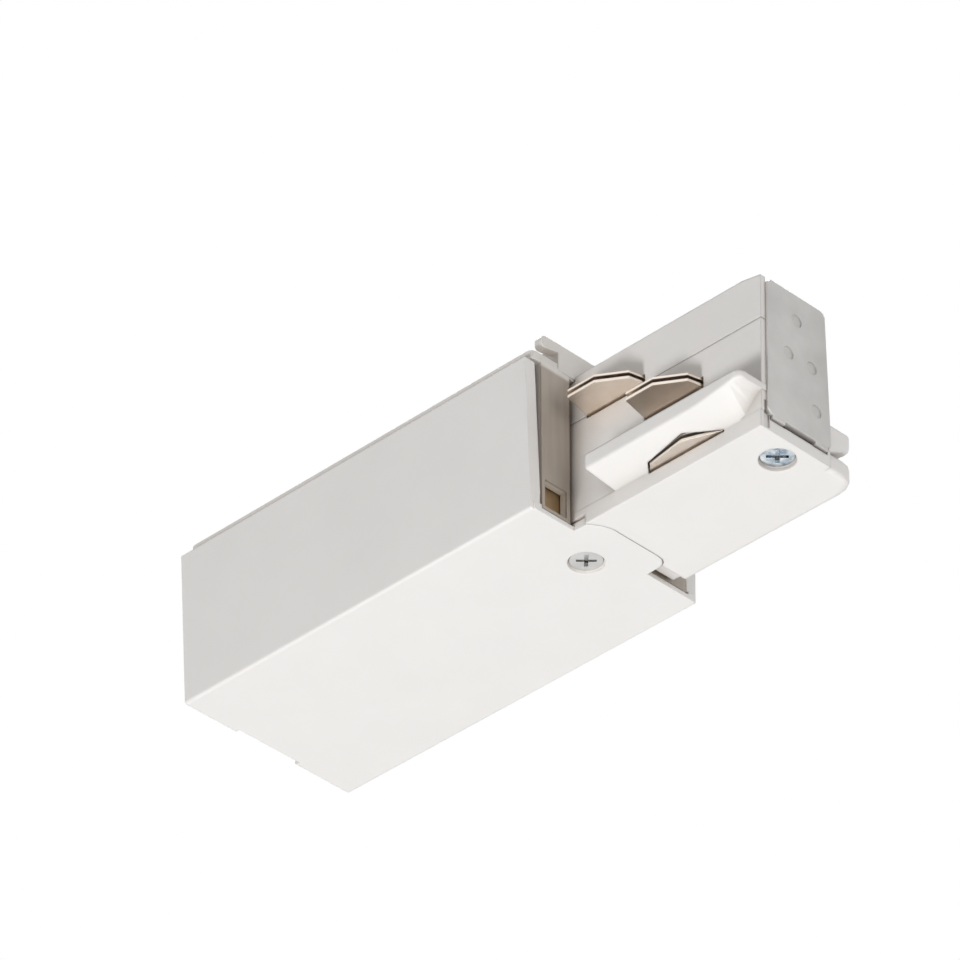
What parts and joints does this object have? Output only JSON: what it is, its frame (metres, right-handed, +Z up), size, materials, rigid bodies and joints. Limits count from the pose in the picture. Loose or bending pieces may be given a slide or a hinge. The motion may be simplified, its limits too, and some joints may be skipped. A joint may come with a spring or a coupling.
{
  "type": "lighting track connector",
  "caption": "White surface-mount live-end feed for a lighting track: drop-off wiring cover, base tray, terminals and a bladed adapter that slides into the track.",
  "frame": {"origin": "middle of the bounding box on the underside, in the attitude it hangs in", "axes": "+Z up to the ceiling, +X from the cover towards the track adapter's nose, Y across"},
  "size_m": [0.1126, 0.0366, 0.0327],
  "materials": {
    "white_moulding": "fine satin, warm white",
    "adapter_moulding": "satin, warm white",
    "tray_moulding": "satin, off-white",
    "clamp_moulding": "matte, off-white",
    "terminal_moulding": "matte, off-white",
    "grey_cap": "satin, natural grey",
    "nickel_strip": "plated strip, slightly warm",
    "brass_strip": "rolled brass strip",
    "cage_brass": "machined brass",
    "zinc_screw": "bright zinc plate",
    "lock_zinc": "bright zinc plate",
    "grey_screw": "dull grey plate"
  },
  "bodies": {
    "housing": {"base_tray": "tray_moulding", "adapter_lower": "adapter_moulding", "adapter_upper": "adapter_moulding", "adapter_end_cap": "grey_cap", "contact_l1": "nickel_strip", "contact_l2": "nickel_strip", "contact_l3": "nickel_strip", "contact_n": "nickel_strip", "contact_pe": "brass_strip", "terminal_block": "terminal_moulding", "adapter_screw_1": "zinc_screw", "adapter_screw_2": "zinc_screw"},
    "cover": {"cover": "white_moulding"},
    "cover_screw": {"cover_screw": "grey_screw"},
    "lock_screw": {"lock_screw": "lock_zinc"},
    "lock_plate": {"lock_plate": "lock_zinc"},
    "terminal_screw_1": {"terminal_screw_1": "zinc_screw"},
    "terminal_screw_2": {"terminal_screw_2": "zinc_screw"},
    "terminal_screw_3": {"terminal_screw_3": "zinc_screw"},
    "terminal_screw_4": {"terminal_screw_4": "zinc_screw"},
    "terminal_screw_5": {"terminal_screw_5": "zinc_screw"},
    "terminal_cage_1": {"terminal_cage_1": "cage_brass"},
    "terminal_cage_2": {"terminal_cage_2": "cage_brass"},
    "terminal_cage_3": {"terminal_cage_3": "cage_brass"},
    "terminal_cage_4": {"terminal_cage_4": "cage_brass"},
    "terminal_cage_5": {"terminal_cage_5": "cage_brass"},
    "clamp_bar": {"clamp_bar": "clamp_moulding"},
    "clamp_screw_1": {"clamp_screw_1": "zinc_screw"},
    "clamp_screw_2": {"clamp_screw_2": "zinc_screw"}
  },
  "joints": [
    {"name": "cover_lift", "type": "slide", "parent": "housing", "child": "cover", "axis": [0, 0, -1], "range_m": [0, 0.04]},
    {"name": "cover_screw_turn", "type": "hinge", "parent": "cover", "child": "cover_screw", "pos_m": [0.01392, -0.0017, 0.0004], "axis": [0, 0, 1], "continuous": true},
    {"name": "lock_screw_turn", "type": "hinge", "parent": "housing", "child": "lock_screw", "pos_m": [0.05162, -0.0011, 0.0006], "axis": [0, 0, 1], "range_deg": [0, 720]},
    {"name": "lock_plate_slide", "type": "slide", "parent": "housing", "child": "lock_plate", "axis": [0, 0, -1], "range_m": [0, 0.001]},
    {"name": "terminal_screw_1_turn", "type": "hinge", "parent": "housing", "child": "terminal_screw_1", "pos_m": [-0.00817, -0.0112, 0.0121], "axis": [0, 0, 1], "range_deg": [0, 1728]},
    {"name": "terminal_screw_2_turn", "type": "hinge", "parent": "housing", "child": "terminal_screw_2", "pos_m": [-0.00817, -0.0056, 0.0121], "axis": [0, 0, 1], "range_deg": [0, 1728]},
    {"name": "terminal_screw_3_turn", "type": "hinge", "parent": "housing", "child": "terminal_screw_3", "pos_m": [-0.00817, 0, 0.0121], "axis": [0, 0, 1], "range_deg": [0, 1728]},
    {"name": "terminal_screw_4_turn", "type": "hinge", "parent": "housing", "child": "terminal_screw_4", "pos_m": [-0.00817, 0.0056, 0.0121], "axis": [0, 0, 1], "range_deg": [0, 1728]},
    {"name": "terminal_screw_5_turn", "type": "hinge", "parent": "housing", "child": "terminal_screw_5", "pos_m": [-0.00817, 0.0112, 0.0121], "axis": [0, 0, 1], "range_deg": [0, 1728]},
    {"name": "terminal_cage_1_slide", "type": "slide", "parent": "housing", "child": "terminal_cage_1", "axis": [0, 0, -1], "range_m": [0, 0.0024]},
    {"name": "terminal_cage_2_slide", "type": "slide", "parent": "housing", "child": "terminal_cage_2", "axis": [0, 0, -1], "range_m": [0, 0.0024]},
    {"name": "terminal_cage_3_slide", "type": "slide", "parent": "housing", "child": "terminal_cage_3", "axis": [0, 0, -1], "range_m": [0, 0.0024]},
    {"name": "terminal_cage_4_slide", "type": "slide", "parent": "housing", "child": "terminal_cage_4", "axis": [0, 0, -1], "range_m": [0, 0.0024]},
    {"name": "terminal_cage_5_slide", "type": "slide", "parent": "housing", "child": "terminal_cage_5", "axis": [0, 0, -1], "range_m": [0, 0.0024]},
    {"name": "clamp_bar_slide", "type": "slide", "parent": "housing", "child": "clamp_bar", "axis": [0, 0, -1], "range_m": [0, 0.003]},
    {"name": "clamp_screw_1_turn", "type": "hinge", "parent": "clamp_bar", "child": "clamp_screw_1", "pos_m": [-0.02448, -0.0092, 0.0141], "axis": [0, 0, -1], "range_deg": [0, 1440]},
    {"name": "clamp_screw_2_turn", "type": "hinge", "parent": "clamp_bar", "child": "clamp_screw_2", "pos_m": [-0.02448, 0.0092, 0.0141], "axis": [0, 0, -1], "range_deg": [0, 1440]}
  ],
  "couplings": [
    {"joint": "lock_screw_turn", "follows": "lock_plate_slide", "rad_per_m": 12566},
    {"joint": "terminal_screw_1_turn", "follows": "terminal_cage_1_slide", "rad_per_m": 12566},
    {"joint": "terminal_screw_2_turn", "follows": "terminal_cage_2_slide", "rad_per_m": 12566},
    {"joint": "terminal_screw_3_turn", "follows": "terminal_cage_3_slide", "rad_per_m": 12566},
    {"joint": "terminal_screw_4_turn", "follows": "terminal_cage_4_slide", "rad_per_m": 12566},
    {"joint": "terminal_screw_5_turn", "follows": "terminal_cage_5_slide", "rad_per_m": 12566},
    {"joint": "clamp_screw_1_turn", "follows": "clamp_bar_slide", "rad_per_m": 8377.6},
    {"joint": "clamp_screw_2_turn", "follows": "clamp_bar_slide", "rad_per_m": 8377.6}
  ]
}
